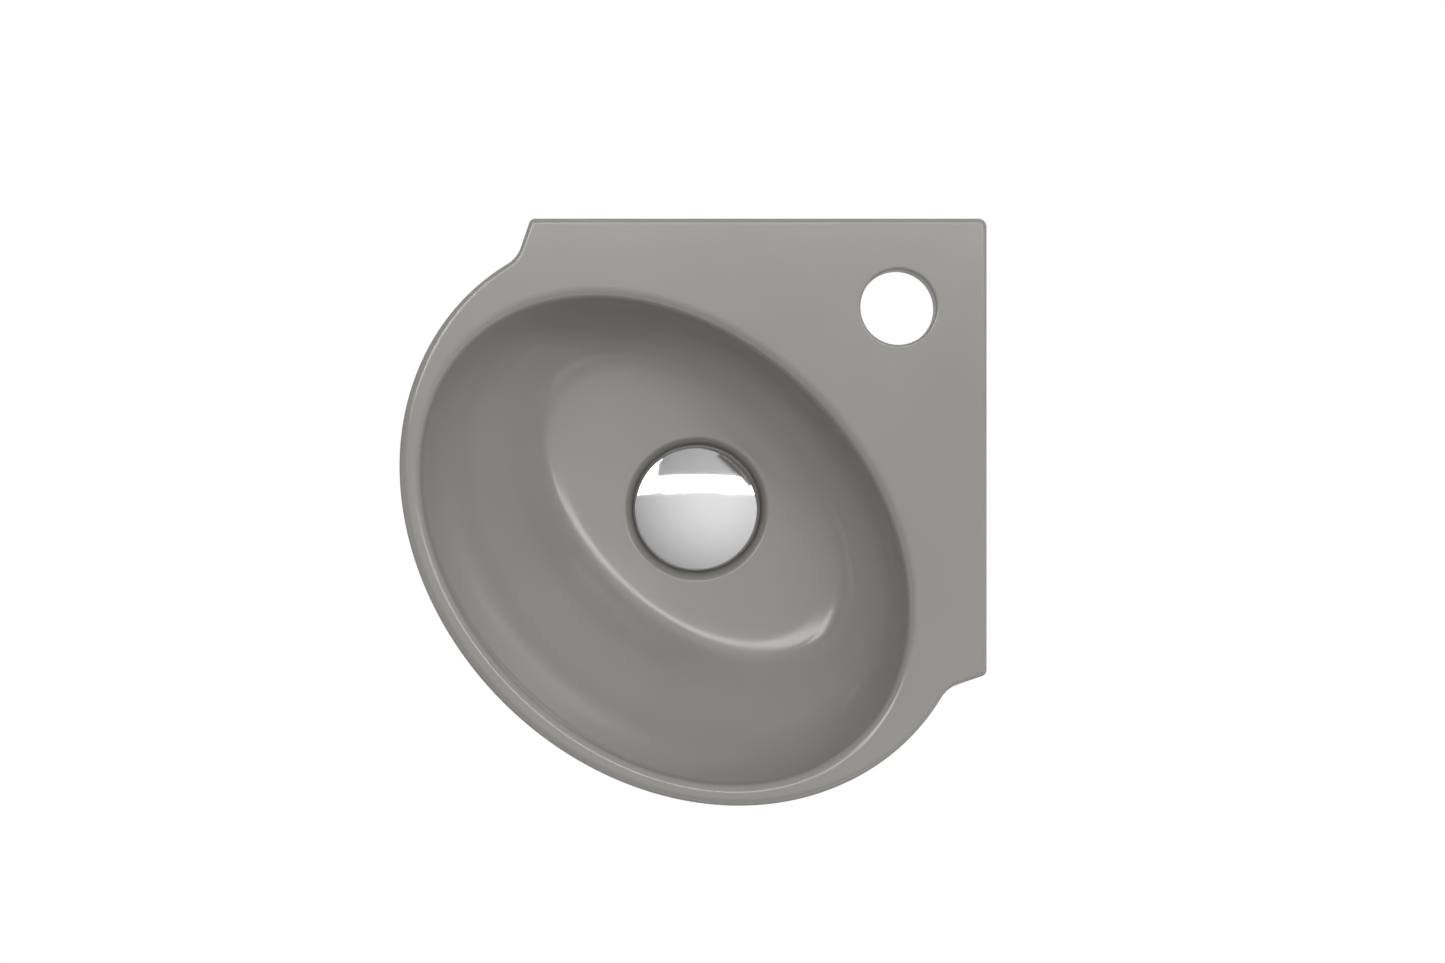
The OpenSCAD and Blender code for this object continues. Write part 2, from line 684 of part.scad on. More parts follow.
// The rotor: a hub and skirt, with slanted lugs that the plunger's foot turns
module cartridge_rotor() {
    hub_d = sleeve_bore_d * 0.65;
    lug_w = hub_d / 4;
    low_share = 0.5;
    high_share = 0.8;
    color([0.2, 0.45, 0.7])
    at_drain()
        translate([0, 0, rotor_z + run_gap])
            difference() {
                union() {
                    cylinder(d = hub_d, h = rotor_h - 2 * run_gap, $fn = round_fn);
                    cylinder(d = slider_d, h = rotor_h / 4, $fn = round_fn);
                    intersection() {
                        cylinder(d = slider_d, h = rotor_h, $fn = round_fn);
                        for (i = [0:rotor_lugs - 1])
                            rotate([90, 0, 360 * i / rotor_lugs])
                                translate([0, 0, -lug_w / 2])
                                    linear_extrude(lug_w)
                                        polygon([[0, 0], [slider_d, 0],
                                                 [slider_d, rotor_h * low_share],
                                                 [0, rotor_h * high_share]]);
                    }
                }
                translate([0, 0, -overrun])
                    cylinder(d = hub_d / 3, h = rotor_h + 2 * overrun, $fn = round_fn);
            }
}

// The plunger: its foot rides on the rotor, its stud screws into the cap
module cartridge_plunger() {
    color([0.9, 0.9, 0.88])
    at_drain() {
        translate([0, 0, rotor_top])
            cylinder(d = slider_d, h = plunger_foot_h, $fn = round_fn);
        translate([0, 0, rotor_top])
            cylinder(d = plunger_d, h = boss_z - rotor_top, $fn = round_fn);
        translate([0, 0, rotor_top])
            cylinder(d = stud_d, h = boss_z + stud_h - rotor_top, $fn = round_fn);
    }
}

// The collar screws over the sleeve and guides the plunger
module cartridge_collar() {
    outer_d = sleeve_d + 2 * sleeve_flange_w;
    color([0.9, 0.9, 0.88])
    at_drain()
        difference() {
            translate([0, 0, sleeve_top - collar_h])
                cylinder(d = outer_d, h = 2 * collar_h, $fn = round_fn);
            translate([0, 0, sleeve_top - collar_h - overrun])
                cylinder(d = sleeve_fit_d, h = collar_h + overrun, $fn = round_fn);
            translate([0, 0, sleeve_top - overrun])
                cylinder(d = plunger_d + 2 * run_gap, h = collar_h + 2 * overrun, $fn = round_fn);
        }
}

// The cap: a shallow dome with a rounded upright edge, hollow round a boss that takes the stud
module waste_cap() {
    edge_n = 4;
    cap_r = cap_d / 2;
    dome_r = (cap_r * cap_r + cap_rise * cap_rise) / (2 * cap_rise);
    dome_mid = cap_z + cap_edge_h + cap_rise - dome_r;
    // The rounding touches both the dome and the upright edge
    round_x = cap_r - cap_edge_r;
    round_z = dome_mid + sqrt(pow(dome_r - cap_edge_r, 2) - round_x * round_x);
    touch = atan2(round_z - dome_mid, round_x);
    land_r = seal_d / 2 - cap_seal_w - cap_t;
    boss_r = stud_d / 2 + cap_t;
    over_x = round_x + cap_edge_r * cos(touch + touch / edge_n);
    over_z = round_z + cap_edge_r * sin(touch) + cap_edge_r;
    function under_dome(r) = dome_mid + sqrt(dome_r * dome_r - r * r) - cap_t;
    color([0.85, 0.85, 0.87])
    at_drain()
        difference() {
            intersection() {
                rotate_extrude($fn = round_fn)
                    polygon(concat(
                        [[0, boss_z], [boss_r, boss_z], [boss_r, under_dome(boss_r)],
                         [land_r, under_dome(land_r)], [land_r, cap_floor],
                         [cap_r - cap_t, cap_floor], [cap_r - cap_t, cap_z], [cap_r, cap_z]],
                        [for (i = [0:edge_n])
                            [round_x, round_z] + cap_edge_r * dir(touch * i / edge_n)],
                        [[over_x, over_z], [0, over_z + cap_rise]]));
                translate([0, 0, dome_mid])
                    sphere(r = dome_r, $fn = dome_fn);
            }
            translate([0, 0, boss_z - overrun])
                cylinder(d = stud_d + 2 * run_gap, h = stud_h + overrun + run_gap, $fn = round_fn);
        }
}

module cap_seal() {
    color([0.12, 0.12, 0.12])
    at_drain()
        washer_ring(seal_d, seal_d - 2 * cap_seal_w, cap_z, cap_seal_t);
}

basin();
flange_seal();
waste_body();
under_seal();
slide_washer();
back_nut();
cartridge_sleeve();
cartridge_lock_nut();
cartridge_spring();
cartridge_rotor();
cartridge_plunger();
cartridge_collar();
waste_cap();
cap_seal();
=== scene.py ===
import math

import bmesh
import bpy
from mathutils import Matrix, Vector


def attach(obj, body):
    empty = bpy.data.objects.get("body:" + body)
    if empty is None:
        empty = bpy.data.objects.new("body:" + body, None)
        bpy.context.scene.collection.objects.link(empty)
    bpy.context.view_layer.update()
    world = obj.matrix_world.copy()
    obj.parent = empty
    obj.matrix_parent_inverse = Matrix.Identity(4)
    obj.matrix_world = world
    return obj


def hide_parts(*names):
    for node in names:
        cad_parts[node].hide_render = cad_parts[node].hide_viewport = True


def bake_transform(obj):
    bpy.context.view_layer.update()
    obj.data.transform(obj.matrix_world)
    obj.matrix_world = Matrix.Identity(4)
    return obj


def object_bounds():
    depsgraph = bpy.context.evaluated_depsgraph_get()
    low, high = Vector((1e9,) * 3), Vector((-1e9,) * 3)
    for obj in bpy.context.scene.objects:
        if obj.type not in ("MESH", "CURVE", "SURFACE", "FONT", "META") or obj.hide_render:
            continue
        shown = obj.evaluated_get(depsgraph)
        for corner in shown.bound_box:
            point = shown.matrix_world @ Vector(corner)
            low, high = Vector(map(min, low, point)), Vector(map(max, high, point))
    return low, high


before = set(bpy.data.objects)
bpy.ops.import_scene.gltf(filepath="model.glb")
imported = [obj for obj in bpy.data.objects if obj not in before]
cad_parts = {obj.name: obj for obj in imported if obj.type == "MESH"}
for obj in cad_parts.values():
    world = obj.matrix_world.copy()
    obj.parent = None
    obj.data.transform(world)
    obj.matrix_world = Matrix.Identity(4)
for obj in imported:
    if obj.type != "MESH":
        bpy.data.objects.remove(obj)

cad_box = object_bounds()
scene = bpy.context.scene
scene.view_settings.view_transform = "Standard"
mm = 0.001

# The camera
# It looks straight down on the basin, with the wall behind the tap along the top of
# the picture. The photograph's pixels at the rim give its height and its place.
image_w, image_h = 1445, 963
corner_px = (987.2, 218.0)
px_per_mm = 2.104
lens, sensor = 50.0, 36.0
camera_data = bpy.data.cameras.new("camera")
camera_data.lens = lens
camera_data.sensor_width = sensor
camera = bpy.data.objects.new("camera", camera_data)
camera.location = (
    (image_w / 2 - corner_px[0]) / px_per_mm * mm,
    (corner_px[1] - image_h / 2) / px_per_mm * mm,
    image_w * lens / sensor / px_per_mm * mm,
)
scene.collection.objects.link(camera)
scene.camera = camera

# The room's light
# A soft sky and one wide window behind the tap light the object. Polish and glaze mirror
# a room of their own: a brighter sky, the same window with a taller corner, and a dark
# cupboard. The camera sees plain white instead of it.


class Socket:
    """A value in a node tree. Plus, minus, times, divide and power add Math nodes."""

    def __init__(self, tree, out):
        self.tree, self.out = tree, out

    def node(self, kind, settings=None, out=0, **inputs):
        """Adds a node, sets it up, feeds its inputs, which are named or numbered as i0 and
        i1, and gives back one of its outputs."""
        made = self.tree.nodes.new(kind)
        for name, value in (settings or {}).items():
            setattr(made, name, value)
        for name, value in inputs.items():
            socket = made.inputs[int(name[1:]) if name[1:].isdigit() else name.replace("_", " ")]
            if isinstance(value, Socket):
                self.tree.links.new(value.out, socket)
            else:
                socket.default_value = value
        return Socket(self.tree, made.outputs[out])

    def math(self, operation, first, second=0.0):
        return self.node("ShaderNodeMath", {"operation": operation}, i0=first, i1=second)

    def __add__(self, other):
        return self.math("ADD", self, other)

    def __radd__(self, other):
        return self.math("ADD", other, self)

    def __sub__(self, other):
        return self.math("SUBTRACT", self, other)

    def __rsub__(self, other):
        return self.math("SUBTRACT", other, self)

    def __mul__(self, other):
        return self.math("MULTIPLY", self, other)

    def __rmul__(self, other):
        return self.math("MULTIPLY", other, self)

    def __truediv__(self, other):
        return self.math("DIVIDE", self, other)

    def __pow__(self, other):
        return self.math("POWER", self, other)

    def at_least(self, other):
        return self.math("MAXIMUM", self, other)

    def step(self, low, high):
        """Zero below low, one above high, and smooth between them."""
        return self.node("ShaderNodeMapRange", {"interpolation_type": "SMOOTHSTEP"},
                         Value=self, From_Min=low, From_Max=high)

    def part(self, axis):
        """One of a vector's x, y and z."""
        return self.node("ShaderNodeSeparateXYZ", out="XYZ".index(axis), Vector=self)

    def noise(self, scale, detail=2.0, roughness=0.5):
        return self.node("ShaderNodeTexNoise", Vector=self, Scale=scale, Detail=detail,
                         Roughness=roughness)

    def mix(self, first, second):
        """The first colour where this is zero and the second where it is one."""
        return self.node("ShaderNodeMix", {"data_type": "RGBA"}, out=2, i0=self, i6=first, i7=second)


# The mirrored sky: its brightest way, its level there, how fast it falls, and the glow of
# the walls low down in it
sky_axis = Vector((0.19, 0.16, 0.97)).normalized()
sky_level, sky_fall = 0.86, 2.0
low_glow, glow_from, glow_to = 1.2, 0.5, 0.3
# The sky that lights the matt surfaces: its level, how slowly it falls, and how much
# brighter it is toward the corner of the walls
even_level, even_fall, even_lean = 0.55, 0.5, 0.5
# The dimmest part of either sky
sky_floor = 0.02
# The window, in slopes from overhead: its lower and upper edge, half its width, how soft
# and how ragged its edges are, its level as a light and in a mirror, and the share of the
# sky that is left beyond it
window_low, window_high, window_half_w = 0.15, 0.316, 0.72
window_soft, window_side_soft, window_ragged, window_grain = 0.01, 0.1, 0.05, 9.0
window_level, window_glare = 5.6, 7.5
beyond_window = 0.62
# The window's taller left corner, in mirrors alone
window_corner, corner_high, corner_soft = -0.44, 0.6, 0.02
# The cupboard, in slopes along the diagonal and beside it, in mirrors alone
cupboard_from, cupboard_to, cupboard_end, cupboard_half_w = 0.71, 0.79, 0.92, 0.33
cupboard_end_soft, cupboard_side_soft, cupboard_level = 0.05, 0.04, 0.12
# Keeps the slopes finite at the horizon
least_height = 0.001
world = bpy.data.worlds.new("room_light")
world.use_nodes = True
scene.world = world
tree = world.node_tree
tree.nodes.clear()
start = Socket(tree, None)
toward = start.node("ShaderNodeTexCoord", out=0)
overhead = start.node("ShaderNodeVectorMath", {"operation": "DOT_PRODUCT"}, out=1,
                      i0=toward, i1=sky_axis).at_least(0.0)
to_camera, mirrored = (start.node("ShaderNodeLightPath", out=i) for i in (0, 3))
height = toward.part("Z").at_least(least_height)
across, back = toward.part("X") / height, toward.part("Y") / height
ragged = (toward.noise(window_grain, detail=3.0) - 0.5) * window_ragged
behind_tap = (back + ragged).step(window_low - window_soft, window_low + window_soft)
above = back.step(window_high - window_soft, window_high + window_soft)
corner = (mirrored * (1.0 - across.step(window_corner - corner_soft, window_corner + corner_soft))
          * (1.0 - back.step(corner_high, corner_high + corner_soft)))
beside = start.math("ABSOLUTE", across).step(window_half_w, window_half_w + window_side_soft)
in_window = behind_tap * (1.0 - above * (1.0 - corner)) * (1.0 - beside)
mirrored_sky = overhead ** sky_fall * sky_level + low_glow * (1.0 - height.step(glow_to, glow_from))
to_corner = toward.part("X") + toward.part("Y")
sky = (mirrored * mirrored_sky
       + (1.0 - mirrored) * overhead ** even_fall * even_level * (1.0 + even_lean * to_corner))
sky = sky * (1.0 - behind_tap * (1.0 - beyond_window)) + sky_floor
light = in_window * (window_level + mirrored * (window_glare - window_level)) + (1.0 - in_window) * sky
diagonal, aside = across + back, start.math("ABSOLUTE", across - back)
cupboard = mirrored * (diagonal.step(cupboard_from, cupboard_to)
                       * (1.0 - diagonal.step(cupboard_end, cupboard_end + cupboard_end_soft))
                       * (1.0 - aside.step(cupboard_half_w, cupboard_half_w + cupboard_side_soft)))
light = light * (1.0 - cupboard) + cupboard * cupboard_level
strength = to_camera + (1.0 - to_camera) * light
tree.links.new(start.node("ShaderNodeBackground", Color=(1.0, 1.0, 1.0, 1.0), Strength=strength).out,
               tree.nodes.new("ShaderNodeOutputWorld").inputs["Surface"])

# The floor
# A pale floor well under the basin, which hangs on its walls. The camera sees the floor
# plain white.
floor_drop, floor_half = 0.75, 4.0
# Points of a mesh that lie closer than this, in millimetres, become one
weld_gap = 0.002


def linear(r, g, b):
    """A screen colour, 0 to 255, as a shader colour."""
    share = [c / 255 for c in (r, g, b)]
    return (*[c / 12.92 if c <= 0.04045 else ((c + 0.055) / 1.055) ** 2.4 for c in share], 1.0)


def start_material(name):
    """A new material: its Principled node, and the place on the object as a Socket."""
    material = bpy.data.materials.new(name)
    material.use_nodes = True
    tree = material.node_tree
    start = Socket(tree, None)
    return material, tree.nodes["Principled BSDF"], start.node("ShaderNodeTexCoord", out=3)


def feed(shader, **values):
    """Sets the shader's sockets to numbers, colours or Sockets."""
    for name, value in values.items():
        socket = shader.inputs[name.replace("_", " ")]
        if isinstance(value, Socket):
            value.tree.links.new(value.out, socket)
        else:
            socket.default_value = value


def new_piece(bm, name, material, body, node=None, crease=35.0):
    """Closes a mesh into a named piece, smooth but for its sharp edges, on its CAD body."""
    bmesh.ops.remove_doubles(bm, verts=bm.verts, dist=weld_gap * mm)
    bmesh.ops.recalc_face_normals(bm, faces=bm.faces)
    for face in bm.faces:
        face.smooth = True
    for edge in bm.edges:
        edge.smooth = len(edge.link_faces) != 2 or edge.calc_face_angle(0.0) < math.radians(crease)
    mesh = bpy.data.meshes.new(name)
    bm.to_mesh(mesh)
    bm.free()
    mesh.materials.append(material)
    piece = bpy.data.objects.new(name, mesh)
    scene.collection.objects.link(piece)
    if body:
        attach(piece, body)
    if node:
        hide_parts(node)
    return piece


basin_middle = (cad_box[0] + cad_box[1]) / 2
floor_material, floor_shader, floor_place = start_material("pale_floor")
feed(floor_shader, Base_Color=linear(226, 226, 224), Roughness=0.9)
tree = floor_material.node_tree
path = floor_place.node("ShaderNodeLightPath", out=0)
glow = floor_place.node("ShaderNodeEmission", Color=(1.0, 1.0, 1.0, 1.0), Strength=1.0)
seen = floor_place.node("ShaderNodeMixShader", i0=path, i1=Socket(tree, floor_shader.outputs[0]), i2=glow)
tree.links.new(seen.out, tree.nodes["Material Output"].inputs["Surface"])
bm = bmesh.new()
bmesh.ops.create_grid(bm, x_segments=1, y_segments=1, size=floor_half)
bmesh.ops.translate(bm, vec=(basin_middle.x, basin_middle.y, -floor_drop), verts=bm.verts)
floor = new_piece(bm, "floor", floor_material, None)

# The casting
# One piece of slip-cast ceramic: a leaning oval bowl, a flat deck with the tap hole, two
# flat backs and a hollow behind the bowl. It is cast in a mould, glazed and fired.
# The outline: its length along each wall, half the length and width of the free edge's
# oval, the two wings beside it, and the rounded edges
side_l, edge_half_l, edge_half_w = 280.0, 149.2, 124.4
wing_l, wing_lean = 217.2, 19.0
corner_r, wing_r, wall_edge_r, free_edge_r, edge_clear = 4.0, 3.0, 2.4, 4.4, 0.5
# The height and the walls, the round in the hollow's roof, and the foot round the waste
casting_h, deck_t, back_t, bowl_wall, cheek_t, pocket_r = 112.0, 14.6, 12.0, 10.0, 21.0, 6.0
foot_half_l, foot_half_w, foot_h, foot_wing_l = 62.0, 44.0, 11.0, 136.0
# The bowl, how far its floor lies toward the corner, and its rim's roundings
bowl_half_l, bowl_half_w, rim_w, bowl_depth, drain_shift = 131.6, 98.0, 10.8, 84.0, 20.4
rim_r_back, rim_r_front = 5.7, 3.6
# The tap hole, the two fixing holes, and the waste's sunk seat with its hole
tap_hole_d, tap_from_wall, tap_edge_r = 36.0, 42.2, 1.2
fixing_hole_d, fixing_from_corner, fixing_drop = 14.0, 100.0, 50.0
seat_d, seat_depth, seat_edge_r, seat_lip, waste_hole_d = 66.0, 8.0, 4.0, 0.9, 46.0
wall_knee_r, wall_knee_h = 0.5, 2.8
edge_along = (side_l - math.hypot(edge_half_l, edge_half_w) / math.sqrt(2)) * math.sqrt(2)
bowl_along = edge_along + edge_half_w - rim_w - bowl_half_w
drain_along = bowl_along - drain_shift
foot_z = foot_h - casting_h
# Steps round the outline's stretches, round every oval and hole, over each rounded edge,
# down the hanging side and the hollow, and along each side of the hollow
corner_steps, wall_steps, wing_steps, blend_steps, oval_steps = 6, 20, 6, 14, 70
oval_n, tap_n, fixing_n = 192, 96, 64
edge_steps, side_steps, pocket_top_step, pocket_steps = 8, 34, 7, 16
# Turn of the oval over which a wing's end blends in, at the deck and at the foot, the most
# of the end that it takes, and the share of the oval where the top edge grows
blend_turn, foot_blend_turn, blend_limit = 2.4, 24.0, 0.8
edge_grow = 0.35
# How the hanging side draws in on its way down, and how its rings crowd toward the deck
draw_in_power, drop_power, crowd_power = 1.44, 2 / 3, 1.5
# Turn of the oval at which the hollow stops
pocket_turn = 118.0


def at_xy(p, q, z):
    """A point p along the diagonal from the corner and q across it, in metres."""
    return Vector((-(p + q) / math.sqrt(2), -(p - q) / math.sqrt(2), z)) * mm


def facing(degrees):
    return Vector((math.cos(math.radians(degrees)), math.sin(math.radians(degrees))))


def mixed(a, b, share):
    return a + (b - a) * share


def eased(share):
    share = min(max(share, 0.0), 1.0)
    return share * share * (3 - 2 * share)


def half_outline(along, half_w, half_l, wing, turn):
    """Half of the outline, from the corner to the front: points, the way out, and how far
    the top edge has grown there."""
    lean_dir = 45 + wing_lean
    tip, line = Vector((wing, wing)) / math.sqrt(2), facing(lean_dir - 90)
    off = Vector(((tip.x - along) / half_w, tip.y / half_l))
    run = Vector((line.x / half_w, line.y / half_l))
    b, c = off.dot(run) / run.dot(run), (off.dot(off) - 1) / run.dot(run)
    hit = off + run * (-b - math.sqrt(max(0.0, b * b - c)))
    begin = math.degrees(math.atan2(hit.y, hit.x)) - turn
    end_p = Vector((along + half_w * facing(begin).x, half_l * facing(begin).y))
    tangent = Vector((half_w * facing(begin).y, -half_l * facing(begin).x)).normalized()
    gap = end_p - tip
    reach = gap.cross(tangent) / line.cross(tangent)
    knee = tip + line * reach
    leg = min((end_p - knee).length, reach * blend_limit)
    half_turn = (135 - lean_dir) / 2
    tip_mid = tip - wing_r / math.cos(math.radians(half_turn)) * facing(135 - half_turn)
    corner_mid = Vector((corner_r * math.sqrt(2), 0))
    entries = []
    for i in range(corner_steps + 1):
        turned = 180 - 45 * i / corner_steps
        entries.append((corner_mid + corner_r * facing(turned), turned, 0.0))
    wall_from, wall_to = corner_mid + corner_r * facing(135), tip_mid + wing_r * facing(135)
    for i in range(1, wall_steps):
        entries.append((mixed(wall_from, wall_to, i / wall_steps), 135, 0.0))
    for i in range(wing_steps + 1):
        turned = mixed(135, lean_dir, i / wing_steps)
        entries.append((tip_mid + wing_r * facing(turned), turned, 0.0))
    for i in range(blend_steps):
        t = i / blend_steps
        early, late = mixed(knee - line * leg, knee, t), mixed(knee, end_p, t)
        way = late - early
        entries.append((mixed(early, late, t), math.degrees(math.atan2(way.y, way.x)) + 90, 0.0))
    for i in range(oval_steps + 1):
        turned = begin * (1 - i / oval_steps)
        out = math.degrees(math.atan2(half_w * facing(turned).y, half_l * facing(turned).x))
        entries.append((Vector((along + half_w * facing(turned).x, half_l * facing(turned).y)),
                        out, eased(i / oval_steps / edge_grow)))
    return entries


def whole(half):
    """A whole ring from its half and the half's mirror image."""
    return half + [(Vector((p.x, -p.y)), -turned, grown) for p, turned, grown in half[-2:0:-1]]


def spread(phi):
    """How much of the hanging side's spread is left at a turn phi, and how far down that is."""
    return (facing(phi).x ** draw_in_power, facing(phi).y ** drop_power) if phi < 90 else (0.0, 1.0)


def side_ring(phi):
    """The outline at a turn phi, in degrees, down the hanging side."""
    f = spread(phi)[0]
    return whole(half_outline(mixed(drain_along, edge_along, f), mixed(foot_half_w, edge_half_w, f),
                              mixed(foot_half_l, edge_half_l, f), mixed(foot_wing_l, wing_l, f),
                              mixed(foot_blend_turn, blend_turn, f)))


def level_ring(ring, z):
    """The outline laid flat at one height."""
    return [at_xy(p.x, p.y, z) for p, out, grown in ring]


top_ring = side_ring(0)


def edge_ring(turned, inset=0.0):
    """The outline drawn in and dropped along its rounded top edge."""
    ring = []
    for p, out, grown in top_ring:
        r = mixed(wall_edge_r, free_edge_r, grown)
        p = p - facing(out) * (r * (1 - facing(turned).y) + inset)
        ring.append(at_xy(p.x, p.y, -r * (1 - facing(turned).x)))
    return ring


def oval(along, half_w, half_l, z_back, z_front):
    """An oval that tilts from one height on the corner side to another at the front."""
    ring = []
    for i in range(oval_n):
        turned = facing(180 - 360 * i / oval_n)
        z = mixed(z_back, z_front, ((1 + turned.x) / 2) ** 2)
        ring.append(at_xy(along + half_w * turned.x, half_l * turned.y, z))
    return ring


def rim_ring(up, inset=0.0):
    """The rounded rim, at a turn from upright to flat."""
    ring = []
    for i in range(oval_n):
        turned = 180 - 360 * i / oval_n
        r = mixed(rim_r_front, rim_r_back, (1 - facing(turned).x) / 2)
        out = r * (1 - facing(up).x) + inset
        ring.append(at_xy(bowl_along + (bowl_half_w + out) * facing(turned).x,
                          (bowl_half_l + out) * facing(turned).y, -r * (1 - facing(up).y)))
    return ring


def circle(x, y, radius, z, n):
    """A level circle, from the corner side and round the way the ovals go."""
    return [Vector((x, y, z)) * mm
            + at_xy(facing(180 - 360 * i / n).x * radius, facing(180 - 360 * i / n).y * radius, 0)
            for i in range(n)]


def loft(bm, rings):
    """A skin through closed rings, each drawn out from the one before. Gives back the first
    and the last ring's edges."""
    n = len(rings[0])
    ring = list(bmesh.ops.create_circle(bm, segments=n, radius=1.0)["verts"])
    for vert, place in zip(ring, rings[0]):
        vert.co = place
    first = edges = [bm.edges.get((ring[i], ring[i - 1])) for i in range(n)]
    for places in rings[1:]:
        made = bmesh.ops.extrude_edge_only(bm, edges=edges)["geom"]
        new = {v for v in made if isinstance(v, bmesh.types.BMVert)}
        ring = [next(e.other_vert(v) for e in v.link_edges if e.other_vert(v) in new) for v in ring]
        for vert, place in zip(ring, places):
            vert.co = place
        edges = [bm.edges.get((ring[i], ring[i - 1])) for i in range(n)]
    return first, edges


def fill_level(bm, *loops):
    """Fills the level face between these loops of edges."""
    bmesh.ops.triangle_fill(bm, use_beauty=True, edges=[e for loop in loops for e in loop])


# The bowl below its rim: shares of the depth on the corner side and at the front, of the
# middle's way to the waste, of the half width and of the half length
bowl_shares = [
    (0.07, 0.07, 0.00, 1.000, 1.000),
    (0.38, 0.16, 0.157, 0.959, 0.978),
    (0.62, 0.25, 0.297, 0.908, 0.940),
    (0.74, 0.37, 0.387, 0.853, 0.895),
    (0.812, 0.50, 0.507, 0.780, 0.845),
    (0.865, 0.63, 0.618, 0.708, 0.801),
    (0.899, 0.76, 0.72, 0.655, 0.765),
    (0.920, 0.88, 0.82, 0.610, 0.730),
    (0.937, 0.955, 0.87, 0.574, 0.698),
    (0.957, 0.980, 0.87, 0.528, 0.655),
    (0.979, 0.990, 0.87, 0.467, 0.560),
]
seat_border = 2.0
floor_r = seat_d / 2 + seat_edge_r + seat_border
bowl_shares.append((1.0, 1.0, 1.0, floor_r / bowl_half_w, floor_r / bowl_half_l))
bowl_fine = 6


def smooth_rows(rows, steps):
    """A smooth curve through a table's rows."""
    made = []
    for k in range(len(rows) - 1):
        a, b, c, d = (Vector(rows[min(max(k + j, 0), len(rows) - 1)]) for j in (-1, 0, 1, 2))
        for i in range(steps):
            t = i / steps
            made.append(0.5 * (2 * b + (c - a) * t + (2 * a - 5 * b + 4 * c - d) * t * t
                               + (3 * b - a - 3 * c + d) * t * t * t))
    return made + [Vector(rows[-1])]


bm = bmesh.new()
drain_xy = at_xy(drain_along, 0, 0) / mm
seat_z = -bowl_depth - seat_depth
# A narrow flat band round each rounded edge keeps its shading clean
skin_inset = 0.4
waste_rings = [rim_ring(90, skin_inset)] + [rim_ring(90 - 90 * j / edge_steps)
                                            for j in range(edge_steps + 1)]
waste_rings += [oval(bowl_along - drain_shift * row[2], bowl_half_w * row[3], bowl_half_l * row[4],
                     -bowl_depth * row[0], -bowl_depth * row[1])
                for row in smooth_rows(bowl_shares, bowl_fine)[1:]]
# The seat's steep wall, with a small round at its top
lip = Vector((seat_d / 2 + seat_edge_r, -bowl_depth))
wall_foot = Vector((seat_d / 2, seat_z))
wall_knee = wall_foot + Vector((wall_knee_r, wall_knee_h))
lip_from, lip_to = lip + Vector((seat_lip, 0)), lip + (wall_knee - lip).normalized() * seat_lip
for j in range(edge_steps + 1):
    t = j / edge_steps
    r, z = mixed(mixed(lip_from, lip, t), mixed(lip, lip_to, t), t)
    waste_rings.append(circle(drain_xy.x, drain_xy.y, r, z, oval_n))
waste_hole_r = waste_hole_d / 2
waste_rings += [circle(drain_xy.x, drain_xy.y, r, z, oval_n)
                for r, z in (wall_knee, wall_foot, (waste_hole_r, seat_z), (waste_hole_r, -casting_h))]
rim_edges, waste_edges = loft(bm, waste_rings)
outer_rings = [edge_ring(0, skin_inset)]
outer_rings += [edge_ring(90 * j / edge_steps) for j in range(edge_steps + 1)]
for j in range(1, side_steps + 1):
    phi = 90 * (j / side_steps) ** crowd_power
    share = spread(phi)[1]
    if foot_z * share < -free_edge_r - edge_clear:
        outer_rings.append(level_ring(side_ring(phi), foot_z * share))
outer_rings.append(level_ring(side_ring(90), -casting_h))
deck_edges, base_edges = loft(bm, outer_rings)


def pocket_ring(f, tight, z):
    """One level of the hollow: along the two back plates, then back round the bowl."""
    plate, wall = back_t + tight, bowl_wall + tight
    stop = mixed(foot_wing_l, wing_l, f) - cheek_t - tight
    half = []
    for i in range(pocket_steps + 1):
        run = mixed(plate, stop, i / pocket_steps)
        half.append((Vector((run + plate, run - plate)) / math.sqrt(2), 0, 0))
    for i in range(pocket_steps + 1):
        turned = facing(mixed(pocket_turn, 180, i / pocket_steps))
        half.append((Vector((mixed(drain_along, bowl_along, f)
                             + mixed(foot_half_w, bowl_half_w + wall, f) * turned.x,
                             mixed(foot_half_l, bowl_half_l + wall, f) * turned.y)), 0, 0))
    return level_ring(whole(half), z)


pocket_rings = [pocket_ring(0, 0, -casting_h)]
for j in range(side_steps - 1, pocket_top_step - 1, -1):
    share, down = spread(90 * j / side_steps)
    pocket_rings.append(pocket_ring(share, 0, foot_z * down))
for j in range(edge_steps + 1):
    way = facing(90 * j / edge_steps)
    pocket_rings.append(pocket_ring(1, pocket_r * (1 - way.x), -deck_t - pocket_r * (1 - way.y)))
pocket_rings.append(pocket_ring(1, pocket_r + skin_inset, -deck_t))
mouth_edges, roof_edges = loft(bm, pocket_rings)
tap_hole_r = tap_hole_d / 2
tap_rings = [circle(-tap_from_wall, -tap_from_wall, tap_hole_r + tap_edge_r + skin_inset, 0, tap_n)]
for j in range(edge_steps + 1):
    way = facing(90 * j / edge_steps)
    tap_rings.append(circle(-tap_from_wall, -tap_from_wall, tap_hole_r + tap_edge_r * (1 - way.y),
                            -tap_edge_r * (1 - way.x), tap_n))
tap_rings.append(circle(-tap_from_wall, -tap_from_wall, tap_hole_r, -deck_t, tap_n))
tap_edges, tap_foot_edges = loft(bm, tap_rings)
fill_level(bm, deck_edges, rim_edges, tap_edges)
fill_level(bm, base_edges, mouth_edges, waste_edges)
fill_level(bm, roof_edges, tap_foot_edges)

# The free edge's finer facets stay within the solid's box
for vert in bm.verts:
    vert.co = Vector(max(c, low) for c, low in zip(vert.co, cad_box[0]))

